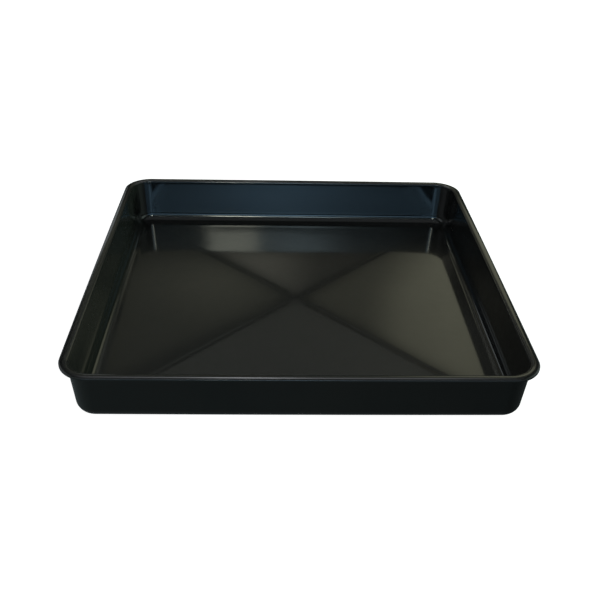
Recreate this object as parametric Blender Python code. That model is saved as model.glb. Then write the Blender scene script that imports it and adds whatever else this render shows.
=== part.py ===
"""Square oil drip tray: one thin-walled black plastic moulding.

The whole tray is a single skin of even thickness. Its section is drawn once, from the middle of the
floor's upper face, up the inner wall, over the flange, round the turned-down lip and back under the
tray to the middle of the floor's underside. That section is carried round a rounded square, ring by
ring, so the rings close into one solid.

Frame: the origin is the middle of the face that the tray stands on, +Z is up, and +X and +Y run
square to the walls. All lengths are in metres.
"""

import math

import bmesh
import bpy
import numpy as np

MM = 0.001

# Overall size
SIDE = 600 * MM  # over the flange, from mid-side to mid-side
HEIGHT = 75 * MM  # from the ground to the top of the flange
SKIN = 2.5 * MM  # wall, floor and flange thickness
SIDE_BOW = 1.0 * MM  # how far the middle of a side stands out past its corners

# Flange and lip
CORNER_RADIUS = 42 * MM  # plan radius at the outer edge of the flange
FLANGE_WIDTH = 11.5 * MM  # outer edge of the lip to the inner wall's plane
FLANGE_BEND = 3.2 * MM  # flange into inner wall, upper face
LIP_DROP = 4.2 * MM  # top of the flange to the lower edge of the lip
LIP_ROUND = 2.2 * MM  # flange into lip, outer face
LIP_EDGE = 0.6 * MM  # softened lower edge of the lip

# Walls
DRAFT = math.radians(5.0)  # lean of each wall, opening upwards
FLOOR_FILLET = 14 * MM  # inner wall into floor, upper face

# Floor: a flat margin that the tray stands on, then four facets that rise to the middle and
# meet in a rounded ridge along each diagonal, with a very shallow crease pressed into it
FOOT_WIDTH = 7 * MM
FLOOR_RISE = 4.0 * MM
RIDGE_ROUND = 12 * MM  # the facets meet over this width
CREASE_HALF_WIDTH = 4.5 * MM
CREASE_DEPTH = 0.08 * MM
CREASE_RUN_IN = 22 * MM  # how far from the margin the creases reach their full depth
CROSSING = 9 * MM  # half size of the plain pad where the two creases meet

# Fineness of the mesh
ARC_STEPS = 4  # steps in each half of a plan corner
SIDE_STEPS = 6  # steps along the straight part of each side
BEND_STEPS = 4  # steps in the fillets of the section
FLOOR_RINGS = 7  # rings in the floor between its margin and its middle


def arc(centre, radius, first, last, steps):
    """Points of a circular arc in the section, as (inset, height)."""
    angles = np.radians(np.linspace(first, last, steps + 1))
    return [(centre[0] + radius * math.cos(a), centre[1] + radius * math.sin(a)) for a in angles]


def wall_inset(height):
    """Inset of the inner wall's plane at a height."""
    return FLANGE_WIDTH + (HEIGHT - height) * math.tan(DRAFT)


def section():
    """The section from the upper edge of the floor to its lower edge, as (inset, height)."""
    lean = math.degrees(DRAFT)
    fillet_height = SKIN + FLOOR_FILLET
    fillet = (wall_inset(fillet_height) + FLOOR_FILLET / math.cos(DRAFT), fillet_height)
    bend_height = HEIGHT - FLANGE_BEND
    bend = (wall_inset(bend_height) - FLANGE_BEND / math.cos(DRAFT), bend_height)
    under = HEIGHT - SKIN
    root = 0.9 * MM
    root_centre = (
        wall_inset(under - root) - (SKIN + root) / math.cos(DRAFT),
        under - root,
    )

    points = arc(fillet, FLOOR_FILLET, -90, -180 + lean, BEND_STEPS)
    points += arc(bend, FLANGE_BEND, lean, 90, BEND_STEPS)
    points += arc((LIP_ROUND, HEIGHT - LIP_ROUND), LIP_ROUND, 90, 180, BEND_STEPS - 1)
    points += arc((LIP_EDGE, HEIGHT - LIP_DROP + LIP_EDGE), LIP_EDGE, 180, 270, 1)
    points += [
        (SKIN - LIP_EDGE / 2, HEIGHT - LIP_DROP),
        (SKIN, HEIGHT - LIP_DROP + LIP_EDGE / 2),
    ]
    points += arc((SKIN + root, under - root), root, 180, 90, 1)
    points += arc(root_centre, root, 90, lean, 1)
    points += arc(fillet, FLOOR_FILLET + SKIN, 180 + lean, 270, BEND_STEPS)
    return points


def hollow(t):
    """A smooth hollow, 1 deep in its middle and level from 1 outwards."""
    return (1 - min(t, 1.0) ** 2) ** 2


def floor_lift(half, across):
    """How far the floor stands above its margin, on the square of this half size, at a distance
    across from the diagonal."""
    margin = SIDE / 2 - section()[0][0] - FOOT_WIDTH
    if half >= margin:
        return 0.0
    full = min((margin - half) / CREASE_RUN_IN, 1.0) * min(max(half - CROSSING, 0) / CROSSING, 1.0)
    apart = min(across * math.sqrt(2) / RIDGE_ROUND, 1.0)
    rounded = min(half + full * RIDGE_ROUND * (1 - apart) ** 2 / 4, margin)
    lift = FLOOR_RISE * (1 - (rounded / margin) ** 1.15)
    return max(lift - full * CREASE_DEPTH * hollow(across / CREASE_HALF_WIDTH), 0.0)


def stations(radius, settle):
    """Distances along a ring from the diagonal, out to the end of the corner. On the walls they
    share out the arc; settle moves them to fixed places that draw the crease and its ridge."""
    share = np.linspace(0, 1, ARC_STEPS + 1)
    on_arc = share * radius * math.pi / 4
    fixed = np.interp(share, [0, 0.25, 0.5, 0.75, 1], [0, 2.2 * MM, 4.5 * MM, 9 * MM, 16 * MM])
    offsets = (1 - settle) * on_arc + settle * fixed
    return np.concatenate([-offsets[:0:-1], offsets])


def ring(inset, height, radius, settle, lift_sign=0):
    """One closed ring of the tray, anticlockwise from above."""
    half = SIDE / 2 - inset
    quarter = radius * math.pi / 4
    offsets = stations(radius, settle) * (min(1.0, half / (60 * MM)) if settle else 1.0)
    corner = []
    for s in offsets:
        past = abs(s) - quarter
        if past < 0:
            angle = math.pi / 4 + s / radius
            point = (
                half - radius + radius * math.cos(angle),
                half - radius + radius * math.sin(angle),
            )
        else:
            point = (half, half - radius - past)
            point = point if s < 0 else point[::-1]
        corner.append(point)
    following = (-corner[0][1], corner[0][0])
    side = [
        tuple(np.add(corner[-1], np.subtract(following, corner[-1]) * k / SIDE_STEPS))
        for k in range(1, SIDE_STEPS)
    ]
    ring_points = []
    for turn in range(4):
        c, s = [(1, 0), (0, 1), (-1, 0), (0, -1)][turn]
        for x, y in corner + side:
            across = abs(x - y) / math.sqrt(2) if x > 0 and y > 0 else half
            lift = floor_lift(half, across) if lift_sign else 0.0
            ring_points.append((c * x - s * y, s * x + c * y, height + lift))
    return ring_points


def rings():
    """All rings, from the middle of the floor's upper face round to the middle of its underside."""
    path = section()
    edge = path[0][0]
    margin = SIDE / 2 - edge - FOOT_WIDTH
    edge_radius = CORNER_RADIUS - edge
    halves = margin * np.linspace(0, 1, FLOOR_RINGS + 1)[1:] ** 1.0
    halves = np.concatenate([[CROSSING, 2 * CROSSING], halves[halves > 3 * CROSSING]])
    halves = np.insert(halves, -1, margin - CREASE_RUN_IN)
    floor = []
    for half in halves:
        radius = edge_radius * 0.6 if half == margin else 0.0
        floor.append((SIDE / 2 - half, radius, 1.0))
    found = [ring(inset, SKIN, radius, settle, 1) for inset, radius, settle in floor]
    found += [ring(inset, height, CORNER_RADIUS - inset, 0.0) for inset, height in path]
    found += [ring(inset, 0.0, radius, settle, 1) for inset, radius, settle in floor[::-1]]
    return found


def bowed(x, y, z):
    """Pulls the corners in, so that each side bows outwards."""
    half = SIDE / 2
    return (
        x * (1 - SIDE_BOW / half * (y / half) ** 2),
        y * (1 - SIDE_BOW / half * (x / half) ** 2),
        z,
    )


def tray_mesh(name):
    loops = rings()
    bm = bmesh.new()
    made = [[bm.verts.new(bowed(*point)) for point in loop] for loop in loops]
    count = len(made[0])
    for inner, outer in zip(made, made[1:]):
        for k in range(count):
            n = (k + 1) % count
            bm.faces.new((inner[k], outer[k], outer[n], inner[n]))
    for loop, height in ((made[0], SKIN), (made[-1][::-1], 0.0)):
        top = bm.verts.new((0, 0, height + floor_lift(0.0, 1.0)))
        for k in range(count):
            bm.faces.new((top, loop[k], loop[(k + 1) % count]))
    bmesh.ops.triangulate(bm, faces=bm.faces[:], quad_method="SHORT_EDGE")
    mesh = bpy.data.meshes.new(name)
    bm.to_mesh(mesh)
    bm.free()
    mesh.shade_smooth()
    mesh.set_sharp_from_angle(angle=math.radians(32))
    return mesh


def black_plastic():
    material = bpy.data.materials.new("black_polypropylene")
    material.use_nodes = True
    shader = material.node_tree.nodes["Principled BSDF"]
    shader.inputs["Base Color"].default_value = (0.0105, 0.0115, 0.0105, 1)
    shader.inputs["Roughness"].default_value = 0.34
    shader.inputs["Metallic"].default_value = 0.0
    shader.inputs["IOR"].default_value = 1.49
    material.diffuse_color = (0.02, 0.022, 0.02, 1)
    return material


def main():
    for item in list(bpy.data.objects):
        bpy.data.objects.remove(item, do_unlink=True)
    mesh = tray_mesh("drain_pan")
    mesh.materials.append(black_plastic())
    pan = bpy.data.objects.new("drain_pan", mesh)
    bpy.context.scene.collection.objects.link(pan)


main()
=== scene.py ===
"""Looks of the square oil drip tray: a fine shell in place of the plain CAD solid, its black plastic,
a pale studio floor, soft lights and the camera. All lengths are in metres."""

import math

import bmesh
import bpy
import numpy as np
from mathutils import Matrix, Vector, noise


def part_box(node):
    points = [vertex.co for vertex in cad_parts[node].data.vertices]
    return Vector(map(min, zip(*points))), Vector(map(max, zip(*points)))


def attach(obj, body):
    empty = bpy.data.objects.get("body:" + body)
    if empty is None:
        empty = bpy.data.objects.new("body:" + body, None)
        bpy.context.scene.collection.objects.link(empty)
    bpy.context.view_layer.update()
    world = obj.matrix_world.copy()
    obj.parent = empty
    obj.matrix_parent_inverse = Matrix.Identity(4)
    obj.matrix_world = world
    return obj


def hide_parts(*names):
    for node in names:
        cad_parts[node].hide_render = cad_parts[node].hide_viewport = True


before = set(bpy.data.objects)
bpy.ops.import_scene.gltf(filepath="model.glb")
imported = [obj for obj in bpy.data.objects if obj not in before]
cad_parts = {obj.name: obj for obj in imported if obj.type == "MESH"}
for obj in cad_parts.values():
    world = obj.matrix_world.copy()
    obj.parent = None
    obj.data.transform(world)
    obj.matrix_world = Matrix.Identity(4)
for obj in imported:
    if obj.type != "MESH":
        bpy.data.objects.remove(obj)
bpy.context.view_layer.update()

MM = 0.001

# The tray's dimensions, as the CAD part has them
LOW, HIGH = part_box("drain_pan")
SIDE = HIGH.x - LOW.x
HEIGHT = HIGH.z - LOW.z
SKIN = 2.5 * MM
SIDE_BOW = 1.0 * MM
CORNER_RADIUS = 42 * MM
FLANGE_WIDTH = 11.5 * MM
FLANGE_BEND = 3.2 * MM
LIP_DROP = 4.2 * MM
LIP_ROUND = 2.2 * MM
LIP_EDGE = 0.6 * MM
DRAFT = math.radians(5.0)
FLOOR_FILLET = 14 * MM
FOOT_WIDTH = 7 * MM
FLOOR_RISE = 4.0 * MM
CREASE_HALF_WIDTH = 5.5 * MM
CREASE_DEPTH = 0.055 * MM
RIDGE_ROUND = 12 * MM  # the facets meet over this width
FLANGE_CROWN = 0.5 * MM  # the flange's top is very slightly rounded
CREASE_RUN_IN = 22 * MM
CROSSING = 9 * MM

# Fineness
ARC_STEPS = 14
SIDE_STEPS = 44
BEND_STEPS = 12
FLOOR_RINGS = 64

FLOOR_WAVE = 0.16 * MM  # slow unevenness of the thermoformed floor
WALL_WAVE = 0.22 * MM


# ---------------------------------------------------------------- shape


def arc(centre, radius, first, last, steps):
    angles = np.radians(np.linspace(first, last, steps + 1))
    return [(centre[0] + radius * math.cos(a), centre[1] + radius * math.sin(a)) for a in angles]


def wall_inset(height):
    return FLANGE_WIDTH + (HEIGHT - height) * math.tan(DRAFT)


def between(a, b, steps):
    """Points strictly between two section points."""
    return [tuple(np.add(a, np.subtract(b, a) * k / steps)) for k in range(1, steps)]


def section():
    """The section from the upper edge of the floor round to its lower edge, as (inset, height)."""
    lean = math.degrees(DRAFT)
    fillet_height = SKIN + FLOOR_FILLET
    fillet = (wall_inset(fillet_height) + FLOOR_FILLET / math.cos(DRAFT), fillet_height)
    bend_height = HEIGHT - FLANGE_BEND
    bend = (wall_inset(bend_height) - FLANGE_BEND / math.cos(DRAFT), bend_height)
    under = HEIGHT - SKIN
    root = 0.9 * MM
    root_centre = (
        wall_inset(under - root) - (SKIN + root) / math.cos(DRAFT),
        under - root,
    )
    runs = [
        arc(fillet, FLOOR_FILLET, -90, -180 + lean, BEND_STEPS),
        arc(bend, FLANGE_BEND, lean, 90, BEND_STEPS),
        arc((LIP_ROUND, HEIGHT - LIP_ROUND), LIP_ROUND, 90, 180, BEND_STEPS - 2),
        arc((LIP_EDGE, HEIGHT - LIP_DROP + LIP_EDGE), LIP_EDGE, 180, 270, 4),
        arc(
            (SKIN - LIP_EDGE / 2, HEIGHT - LIP_DROP + LIP_EDGE / 2),
            LIP_EDGE / 2,
            -90,
            0,
            3,
        ),
        arc((SKIN + root, under - root), root, 180, 90, 4),
        arc(root_centre, root, 90, lean, 4),
        arc(fillet, FLOOR_FILLET + SKIN, 180 + lean, 270, BEND_STEPS),
    ]
    fills = [16, 8, 1, 2, 2, 2, 14]
    points = list(runs[0])
    for run, fill in zip(runs[1:], fills):
        points += between(points[-1], run[0], fill)
        points += run
    middle, reach = 5.4 * MM, 4.6 * MM
    return [
        (inset, height - FLANGE_CROWN * min(((inset - middle) / reach) ** 2, 1.0))
        if height > HEIGHT - 0.9 * MM
        else (inset, height)
        for inset, height in points
    ]


SECTION = section()
MARGIN = SIDE / 2 - SECTION[0][0] - FOOT_WIDTH


def smooth_step(t):
    t = min(max(t, 0.0), 1.0)
    return t * t * (3 - 2 * t)


def hollow(t):
    return (1 - min(t, 1.0) ** 2) ** 2


def floor_lift(half, across):
    """Height of the floor above its margin on the square of this half size, at a distance across
    from the diagonal."""
    if half >= MARGIN:
        return 0.0
    full = min((MARGIN - half) / CREASE_RUN_IN, 1.0) * smooth_step((half - CROSSING) / CROSSING)
    apart = min(across * math.sqrt(2) / RIDGE_ROUND, 1.0)
    rounded = min(half + full * RIDGE_ROUND * (1 - apart) ** 2 / 4, MARGIN)
    lift = FLOOR_RISE * (1 - (rounded / MARGIN) ** 1.15)
    return max(lift - full * CREASE_DEPTH * hollow(across / CREASE_HALF_WIDTH), 0.0)


def floor_wave(x, y):
    """Slow unevenness of the floor, none at its margin."""
    reach = max(abs(x), abs(y))
    window = smooth_step((MARGIN - reach) / (45 * MM))
    p = Vector((x / 0.17 + 3.1, y / 0.17 - 1.7, 0.4))
    q = Vector((x / 0.071 - 8.2, y / 0.071 + 5.3, 2.9))
    return FLOOR_WAVE * window * (noise.noise(p) + 0.35 * noise.noise(q) + 0.25)


def stations(radius, settle):
    share = np.linspace(0, 1, ARC_STEPS + 1)
    on_arc = share * radius * math.pi / 4
    dense = np.linspace(0, 8 * MM, 9)
    spread = 8 * MM + (32 * MM - 8 * MM) * (np.arange(1, ARC_STEPS - 7) / (ARC_STEPS - 8)) ** 1.2
    fixed = np.concatenate([dense, spread])
    offsets = (1 - settle) * on_arc + settle * fixed
    return np.concatenate([-offsets[:0:-1], offsets])


def ring(inset, height, radius, settle, lifted=False):
    half = SIDE / 2 - inset
    quarter = radius * math.pi / 4
    offsets = stations(radius, settle) * (min(1.0, half / (60 * MM)) if settle else 1.0)
    corner = []
    for s in offsets:
        past = abs(s) - quarter
        if past < 0:
            angle = math.pi / 4 + s / radius
            point = (
                half - radius + radius * math.cos(angle),
                half - radius + radius * math.sin(angle),
            )
        else:
            point = (half, half - radius - past)
            point = point if s < 0 else point[::-1]
        corner.append(point)
    following = (-corner[0][1], corner[0][0])
    side = between(corner[-1], following, SIDE_STEPS)
    found = []
    for c, s in ((1, 0), (0, 1), (-1, 0), (0, -1)):
        for x, y in corner + side:
            across = abs(x - y) / math.sqrt(2) if x > 0 and y > 0 else half
            px, py = c * x - s * y, s * x + c * y
            z = height
            if lifted:
                z += floor_lift(half, across)
                z += floor_wave(px, py)
            found.append((px, py, z))
    return found


def walls_wave(points, height):
    """Slow unevenness of the walls, none at the rim or at the floor."""
    window = smooth_step((height - 0.010) / 0.02) * smooth_step((HEIGHT - 0.004 - height) / 0.02)
    if window == 0:
        return points
    moved = []
    for x, y, z in points:
        reach = math.hypot(x, y)
        wave = noise.noise(Vector((x / 0.11 + 20.0, y / 0.11 - 4.0, z / 0.09)))
        push = WALL_WAVE * window * wave / reach
        moved.append((x * (1 - push), y * (1 - push), z))
    return moved


def rings():
    edge_radius = CORNER_RADIUS - SECTION[0][0]
    halves = MARGIN * np.linspace(0, 1, FLOOR_RINGS + 1)[1:]
    halves = halves[halves > 5 * MM]
    floor = [(SIDE / 2 - half, edge_radius * 0.6 * smooth_step((half / MARGIN - 0.9) / 0.1), 1.0) for half in halves]
    foot = [
        (
            SIDE / 2 - MARGIN - FOOT_WIDTH * k / 4,
            edge_radius * (0.6 + 0.4 * k / 4),
            1.0 - smooth_step(k / 4),
        )
        for k in range(1, 4)
    ]
    found = [ring(i, SKIN, r, s, True) for i, r, s in floor]
    found += [ring(i, SKIN, r, s) for i, r, s in foot]
    found += [walls_wave(ring(i, z, CORNER_RADIUS - i, 0.0), z) for i, z in SECTION]
    found += [ring(i, 0.0, r, s) for i, r, s in foot[::-1]]
    found += [ring(i, 0.0, r, s, True) for i, r, s in floor[::-1]]
    return found


def bowed(x, y, z):
    half = SIDE / 2
    return (
        x * (1 - SIDE_BOW / half * (y / half) ** 2),
        y * (1 - SIDE_BOW / half * (x / half) ** 2),
        max(z, 0.0),
    )


def make_pan():
    loops = rings()
    bm = bmesh.new()
    made = [[bm.verts.new(bowed(*point)) for point in loop] for loop in loops]
    count = len(made[0])
    for inner, outer in zip(made, made[1:]):
        for k in range(count):
            n = (k + 1) % count
            bm.faces.new((inner[k], outer[k], outer[n], inner[n]))
    for loop, height in ((made[0], SKIN), (made[-1][::-1], 0.0)):
        top = bm.verts.new((0, 0, height + floor_lift(0.0, 1.0) + floor_wave(0, 0)))
        for k in range(count):
            bm.faces.new((top, loop[k], loop[(k + 1) % count]))
    mesh = bpy.data.meshes.new("moulded_pan")
    bm.to_mesh(mesh)
    bm.free()
    mesh.shade_smooth()
    pan = bpy.data.objects.new("moulded_pan", mesh)
    bpy.context.scene.collection.objects.link(pan)
    return pan


# ---------------------------------------------------------------- material


class Nodes:
    """A short way to add nodes to a material."""

    def __init__(self, tree):
        self.tree = tree

    def add(self, kind, label=None, **settings):
        node = self.tree.nodes.new(kind)
        if label:
            node.label = label
        for key, value in settings.items():
            if key in node.inputs.keys():
                node.inputs[key].default_value = value
            else:
                setattr(node, key, value)
        return node

    def link(self, a, b):
        self.tree.links.new(a, b)

    def noise(self, coords, scale, detail=2.0, rough=0.5, stretch=None):
        if stretch:
            mapping = self.add("ShaderNodeMapping")
            mapping.inputs["Scale"].default_value = stretch
            self.link(coords, mapping.inputs["Vector"])
            coords = mapping.outputs["Vector"]
        node = self.add("ShaderNodeTexNoise")
        node.inputs["Scale"].default_value = scale
        node.inputs["Detail"].default_value = detail
        node.inputs["Roughness"].default_value = rough
        self.link(coords, node.inputs["Vector"])
        return node.outputs["Fac"]

    def ramp(self, value, low, high, out_low=0.0, out_high=1.0):
        node = self.add("ShaderNodeMapRange", clamp=True)
        for socket, v in (("From Min", low), ("From Max", high), ("To Min", out_low), ("To Max", out_high)):
            node.inputs[socket].default_value = v
        self.link(value, node.inputs["Value"])
        return node.outputs["Result"]

    def math(self, operation, a, b):
        node = self.add("ShaderNodeMath", operation=operation)
        for socket, v in zip(node.inputs, (a, b)):
            if isinstance(v, (int, float)):
                socket.default_value = v
            else:
                self.link(v, socket)
        return node.outputs["Value"]


def black_plastic():
    material = bpy.data.materials.new("black_plastic")
    material.use_nodes = True
    tree = material.node_tree
    n = Nodes(tree)
    shader = tree.nodes["Principled BSDF"]
    coords = n.add("ShaderNodeTexCoord").outputs["Object"]

    # colour: black with a slow drift between a warm and a cool black
    drift = n.noise(coords, 7.0, 3.0, 0.55)
    mix = n.add("ShaderNodeMix", data_type="RGBA")
    mix.inputs[6].default_value = (0.0082, 0.0096, 0.0090, 1)
    mix.inputs[7].default_value = (0.0124, 0.0128, 0.0112, 1)
    n.link(n.ramp(drift, 0.3, 0.7), mix.inputs[0])
    n.link(mix.outputs[2], shader.inputs["Base Color"])

    # roughness: haze and fine rubbed patches
    haze = n.noise(coords, 16.0, 4.0, 0.6)
    rubbed = n.noise(coords, 90.0, 3.0, 0.6)
    rough = n.math("ADD", n.ramp(haze, 0.3, 0.7, 0.38, 0.46), n.ramp(rubbed, 0.35, 0.75, -0.02, 0.03))
    n.link(rough, shader.inputs["Roughness"])

    # bump: fine moulded grain, a slow ripple, and drawing marks that run up and down the walls
    grain = n.noise(coords, 1400.0, 2.0, 0.6)
    bump = n.add("ShaderNodeBump")
    bump.inputs["Strength"].default_value = 0.10
    bump.inputs["Distance"].default_value = 0.00008
    n.link(grain, bump.inputs["Height"])
    ripple = n.noise(coords, 55.0, 2.0, 0.5)
    rippled = n.add("ShaderNodeBump")
    rippled.inputs["Strength"].default_value = 0.5
    rippled.inputs["Distance"].default_value = 0.00006
    n.link(ripple, rippled.inputs["Height"])
    n.link(bump.outputs["Normal"], rippled.inputs["Normal"])
    height = n.add("ShaderNodeSeparateXYZ")
    n.link(coords, height.inputs[0])
    on_wall = n.math(
        "MULTIPLY",
        n.ramp(height.outputs["Z"], 0.008, 0.020),
        n.ramp(height.outputs["Z"], 0.070, 0.064),
    )
    marks = n.noise(coords, 1.0, 1.0, 0.5, (130.0, 130.0, 6.0))
    drawn = n.add("ShaderNodeBump")
    drawn.inputs["Strength"].default_value = 0.35
    drawn.inputs["Distance"].default_value = 0.00012
    n.link(n.math("MULTIPLY", marks, on_wall), drawn.inputs["Height"])
    n.link(rippled.outputs["Normal"], drawn.inputs["Normal"])
    n.link(drawn.outputs["Normal"], shader.inputs["Normal"])

    shader.inputs["IOR"].default_value = 1.49
    shader.inputs["Specular IOR Level"].default_value = 0.12
    shader.inputs["Coat Weight"].default_value = 0.9
    shader.inputs["Coat Roughness"].default_value = 0.08
    shader.inputs["Coat IOR"].default_value = 1.5
    return material


# ---------------------------------------------------------------- stage


def plain(name, colour, roughness=0.9):
    material = bpy.data.materials.new(name)
    material.use_nodes = True
    shader = material.node_tree.nodes["Principled BSDF"]
    shader.inputs["Base Color"].default_value = (*colour, 1)
    shader.inputs["Roughness"].default_value = roughness
    shader.inputs["Specular IOR Level"].default_value = 0.0
    return material


def make_floor():
    mesh = bpy.data.meshes.new("studio_floor")
    reach = 14.0
    mesh.from_pydata(
        [(-reach, -reach, 0), (reach, -reach, 0), (reach, reach, 0), (-reach, reach, 0)],
        [],
        [(0, 1, 2, 3)],
    )
    floor = bpy.data.objects.new("studio_floor", mesh)
    floor.location.z = -0.0004
    bpy.context.scene.collection.objects.link(floor)
    material = plain("studio_floor", (0.5, 0.5, 0.5))
    shader = material.node_tree.nodes["Principled BSDF"]
    shader.inputs["Emission Color"].default_value = (1, 1, 1, 1)
    shader.inputs["Emission Strength"].default_value = 1.0
    mesh.materials.append(material)
    floor.visible_glossy = False
    floor.visible_diffuse = False
    return floor


def area(name, location, target, size, power, colour=(1, 1, 1), spread=180.0):
    light = bpy.data.lights.new(name, "AREA")
    light.shape = "RECTANGLE"
    light.size, light.size_y = size
    light.energy = power
    light.color = colour
    light.spread = math.radians(spread)
    item = bpy.data.objects.new(name, light)
    item.location = location
    direction = Vector(target) - Vector(location)
    item.rotation_euler = direction.to_track_quat("-Z", "Y").to_euler()
    bpy.context.scene.collection.objects.link(item)
    return item


def fade(distance, soft):
    """1 well inside an edge, 0 well outside it."""
    return smooth_step(distance / soft + 0.5)


def rear_light(x, z):
    """Glow of the big studio card behind the tray. It has four soft fields, one for each facet of the
    floor to reflect, with dim gaps between them, and strips for the corners and the front rim."""
    dx, dz = x - 0.056, z - 0.99
    up, down = max(dz, 0.0), max(-dz, 0.0)
    right = fade(dx - 0.060 - up / 0.55 - down / 0.68, 0.10) * fade(1.04 - x, 0.24) * fade(z - 0.73, 0.07)
    left = fade(-dx - 0.06 - up * 2.0 - down / 0.66, 0.12) * fade(x + 0.88, 0.16) * smooth_step((z - 0.68) / 0.26)
    near = fade(dz - 0.07 - abs(dx) * 0.61, 0.05) * fade(1.85 - z, 0.2)
    far = fade(-dz - 0.07 - abs(dx) * 0.64, 0.06) * fade(z - 0.72, 0.08)
    high = fade(z - 1.95, 0.16) * math.exp(-(((x + 0.16) / 0.24) ** 2))
    top = fade(z - 1.95, 0.16) * fade(1.0 - abs(x), 0.6)
    end = fade(-0.63 - x, 0.08) * fade(0.84 - z, 0.12) * fade(z - 0.60, 0.08)
    rise = smooth_step((x - 0.33 - 0.6 * max(0.0, 0.93 - z)) / 0.25)
    warm = math.exp(-(((x + 0.27) / 0.22) ** 2) - ((z - 0.90) / 0.16) ** 2)
    fields = (
        (right, 0.21 + 0.44 * rise + 0.14 * smooth_step((x - 0.55) / 0.25), RIGHT_TINT),
        (left, 0.118 + 0.15 * warm, LEFT_TINT),
        (near, 0.17 + 0.08 * smooth_step((x + 0.1) / 0.7), NEAR_TINT),
        (far, 0.09 + 0.32 * smooth_step((0.18 - x) / 0.28), FAR_TINT),
        (fade(z - 0.74, 0.1) * fade(1.8 - z, 0.2) * fade(0.95 - abs(x), 0.3), 0.045, NEAR_TINT),
        (high, 4.20, HIGH_TINT),
        (top, 1.35, HIGH_TINT),
        (end, 0.90, RIM_TINT),
    )
    glow = Vector((0.0, 0.0, 0.0))
    for share, strength, tint in fields:
        glow += share * strength * Vector(tint)
    return glow


def card(name, corner, across, up, steps, light):
    """A glowing studio card that only shows in reflections. light(u, v) gives its glow at a share u
    of its width and v of its height, and it varies smoothly in between."""
    corner, across, up = Vector(corner), Vector(across), Vector(up)
    columns, rows = steps
    points = []
    glows = []
    for j in range(rows + 1):
        for i in range(columns + 1):
            points.append(corner + across * (i / columns) + up * (j / rows))
            glows.append(light(i / columns, j / rows))
    faces = [
        (k, k + 1, k + columns + 2, k + columns + 1)
        for j in range(rows)
        for k in range(j * (columns + 1), j * (columns + 1) + columns)
    ]
    mesh = bpy.data.meshes.new(name)
    mesh.from_pydata(points, [], faces)
    layer = mesh.color_attributes.new("glow", "FLOAT_COLOR", "POINT")
    for place, glow in zip(layer.data, glows):
        place.color = (*glow, 1.0)
    item = bpy.data.objects.new(name, mesh)
    bpy.context.scene.collection.objects.link(item)
    material = bpy.data.materials.new(name)
    material.use_nodes = True
    tree = material.node_tree
    tree.nodes.clear()
    n = Nodes(tree)
    glow = n.add("ShaderNodeEmission")
    n.link(n.add("ShaderNodeAttribute", attribute_name="glow").outputs["Color"], glow.inputs["Color"])
    out = n.add("ShaderNodeOutputMaterial")
    n.link(glow.outputs[0], out.inputs["Surface"])
    mesh.materials.append(material)
    item.visible_camera = False
    item.visible_diffuse = False
    item.visible_shadow = False
    return item


def make_world():
    """White to the camera. To the tray it is a dim cool room, lighter near and below the horizon."""
    world = bpy.data.worlds.new("studio")
    bpy.context.scene.world = world
    world.use_nodes = True
    tree = world.node_tree
    tree.nodes.clear()
    n = Nodes(tree)
    out = n.add("ShaderNodeOutputWorld")
    seen = n.add("ShaderNodeBackground")
    seen.inputs["Color"].default_value = (1, 1, 1, 1)
    seen.inputs["Strength"].default_value = 1.0
    soft = n.add("ShaderNodeBackground")
    soft.inputs["Color"].default_value = (0.76, 0.95, 1.0, 1)
    split = n.add("ShaderNodeSeparateXYZ")
    n.link(n.add("ShaderNodeTexCoord").outputs["Generated"], split.inputs[0])
    low = n.ramp(split.outputs["Z"], -0.15, 0.35, 0.095, 0.014)
    room = n.math("MULTIPLY", low, n.ramp(split.outputs["X"], 0.0, 0.5, 1.0, 0.35))
    band = n.math(
        "MULTIPLY",
        n.ramp(split.outputs["Z"], -0.52, -0.16, 0.0, 0.42),
        n.ramp(split.outputs["Z"], 0.10, -0.05),
    )
    n.link(n.math("ADD", room, band), soft.inputs["Strength"])
    path = n.add("ShaderNodeLightPath")
    mix = n.add("ShaderNodeMixShader")
    n.link(path.outputs["Is Camera Ray"], mix.inputs[0])
    n.link(soft.outputs[0], mix.inputs[1])
    n.link(seen.outputs[0], mix.inputs[2])
    n.link(mix.outputs[0], out.inputs["Surface"])


RIGHT_TINT = (1.0, 1.0, 0.72)
LEFT_TINT = (1.0, 1.0, 0.74)
NEAR_TINT = (0.95, 1.0, 0.86)
FAR_TINT = (1.0, 0.98, 0.80)
RIM_TINT = (0.90, 0.98, 1.0)
HIGH_TINT = (0.93, 0.95, 1.0)


def front_light(x):
    """Glow along the wide cool panel in front of the tray."""
    return 0.38 + 0.62 * math.exp(-((x / 0.36) ** 2))


def cool_light(x):
    """Glow of the cool panel beside the window, at a distance from its left end."""
    strong = 8.0 * (1 - smooth_step((x / 0.56 - 0.35) / 0.55))
    weak = 3.4 * smooth_step(x / 0.22) * (1 - smooth_step((x - 0.15) / 0.85))
    return strong + weak


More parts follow.
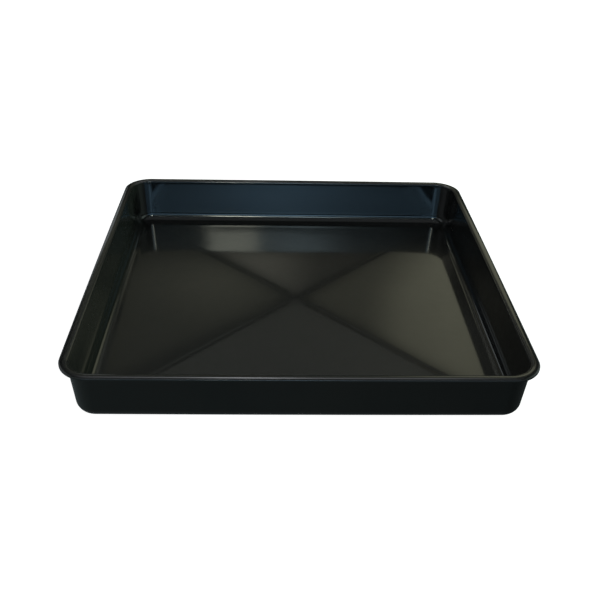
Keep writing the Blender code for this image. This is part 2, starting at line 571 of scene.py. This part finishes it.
def make_lights():
    area("top_soft", (0.0, -0.3, 3.0), (0, -0.3, 0), (4.0, 4.0), 14, (0.92, 0.97, 1.0))
    # lights that only lift the black of a wall and make no highlight: one from the right and rear, which
    # clears the rim and falls on the inner left wall, and four below rim height for the outer walls
    for name, place, target, size, power, tint in (
        ("right_lift", (2.2, 0.9, 0.50), (-0.28, 0.05, 0.05), (0.8, 0.3), 46, (0.72, 1.0, 0.80)),
        ("front_low", (-1.0, -2.4, 0.045), (-0.3, 0, 0.045), (1.4, 0.06), 9, (0.84, 1.0, 0.98)),
        ("rear_low", (0.0, 2.4, 0.045), (0, 0, 0.045), (2.4, 0.06), 40, (0.95, 1.0, 1.0)),
        ("left_low", (-2.4, 0.0, 0.045), (0, 0, 0.045), (2.4, 0.06), 40, (0.95, 1.0, 1.0)),
        ("right_low", (2.4, 0.0, 0.045), (0, 0, 0.045), (2.4, 0.06), 30, (1.0, 0.93, 1.0)),
    ):
        area(name, place, target, size, power, tint).visible_glossy = False
    card(
        "rear_card",
        (-1.3, 1.6, 0.1),
        (2.6, 0, 0),
        (0, 0, 2.7),
        (130, 135),
        lambda u, v: rear_light(-1.3 + 2.6 * u, 0.1 + 2.7 * v),
    )
    card(
        "low_front_card",
        (-1.8, -2.4, 0.44),
        (3.7, 0, 0),
        (0, 0.1, 0.6),
        (80, 2),
        lambda u, v: Vector((0.40, 0.71, 1.0)) * 4.2 * front_light(-1.8 + 3.7 * u),
    )
    card(
        "window_card",
        (-0.37, -1.86, 1.50),
        (0.25, 0, 0),
        (0.045, 0.11, 0.26),
        (2, 2),
        lambda u, v: Vector((0.97, 1.02, 0.86)) * 24,
    )
    card(
        "front_card",
        (-0.118, -1.86, 1.50),
        (0.92, 0, 0),
        (0.045, 0.11, 0.26),
        (40, 2),
        lambda u, v: Vector((0.70, 0.92, 1.0)) * cool_light(0.92 * u),
    )
    card(
        "cool_left_card",
        (-1.10, -1.86, 1.50),
        (0.73, 0, 0),
        (0.045, 0.11, 0.26),
        (20, 2),
        lambda u, v: Vector((0.66, 0.92, 1.0)) * 1.2 * smooth_step(u / 0.4),
    )


def make_side_cards():
    """Dim walls of the studio, which the fillets, the corners and the rim pick up."""
    card(
        "right_side_card",
        (2.2, 1.6, 0.15),
        (0, -3.4, 0),
        (0, 0, 1.9),
        (24, 12),
        lambda u, v: Vector((0.80, 1.0, 0.92)) * 1.20 * math.sin(math.pi * v) * (0.35 + 0.65 * math.sin(math.pi * u)),
    )
    card(
        "left_side_card",
        (-2.2, -1.8, 0.15),
        (0, 3.4, 0),
        (0, 0, 1.9),
        (24, 12),
        lambda u, v: Vector((0.90, 0.97, 1.0)) * 0.90 * math.sin(math.pi * v) * (0.35 + 0.65 * math.sin(math.pi * u)),
    )


def make_corner_cards():
    """Soft boxes across the corners of the studio, which the floor of the tray picks up when it is seen
    from a corner."""
    for name, corner, across in (
        ("rear_left_card", (-1.55, 1.95, 0.3), (-1.5, -1.5, 0)),
        ("rear_right_card", (3.05, 0.45, 0.3), (-1.5, 1.5, 0)),
        ("front_right_card", (1.75, -2.75, 0.3), (1.3, 1.3, 0)),
        ("front_left_card", (-3.05, -1.45, 0.3), (1.3, -1.3, 0)),
    ):
        card(
            name,
            corner,
            across,
            (0, 0, 2.0),
            (16, 16),
            lambda u, v: Vector((0.97, 1.0, 0.98)) * 0.42 * math.sin(math.pi * u) * math.sin(math.pi * v) ** 0.7,
        )


def make_camera():
    """The camera stands in front of the tray and a little to its left, looking down at it."""
    pitch, yaw, roll = map(math.radians, (31.741, 2.367, 1.683))
    place = Vector((-0.03753, -1.06582, 0.66164))
    forward = Vector(
        (math.sin(yaw) * math.cos(pitch), math.cos(yaw) * math.cos(pitch), -math.sin(pitch))
    )
    right = forward.cross(Vector((0, 0, 1))).normalized()
    up = right.cross(forward)
    rolled_right = right * math.cos(roll) + up * math.sin(roll)
    rolled_up = -right * math.sin(roll) + up * math.cos(roll)
    data = bpy.data.cameras.new("camera")
    data.sensor_width = 36
    data.lens = 801.23 / 600 * 36
    camera = bpy.data.objects.new("camera", data)
    basis = Matrix((rolled_right, rolled_up, -forward)).transposed()
    camera.matrix_world = Matrix.Translation(place) @ basis.to_4x4()
    bpy.context.scene.collection.objects.link(camera)
    bpy.context.scene.camera = camera


bpy.context.scene.view_settings.view_transform = "Standard"
pan = make_pan()
pan.data.materials.append(black_plastic())
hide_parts("drain_pan")
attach(pan, "root")
make_floor()
make_world()
make_lights()
make_side_cards()
make_corner_cards()
make_camera()
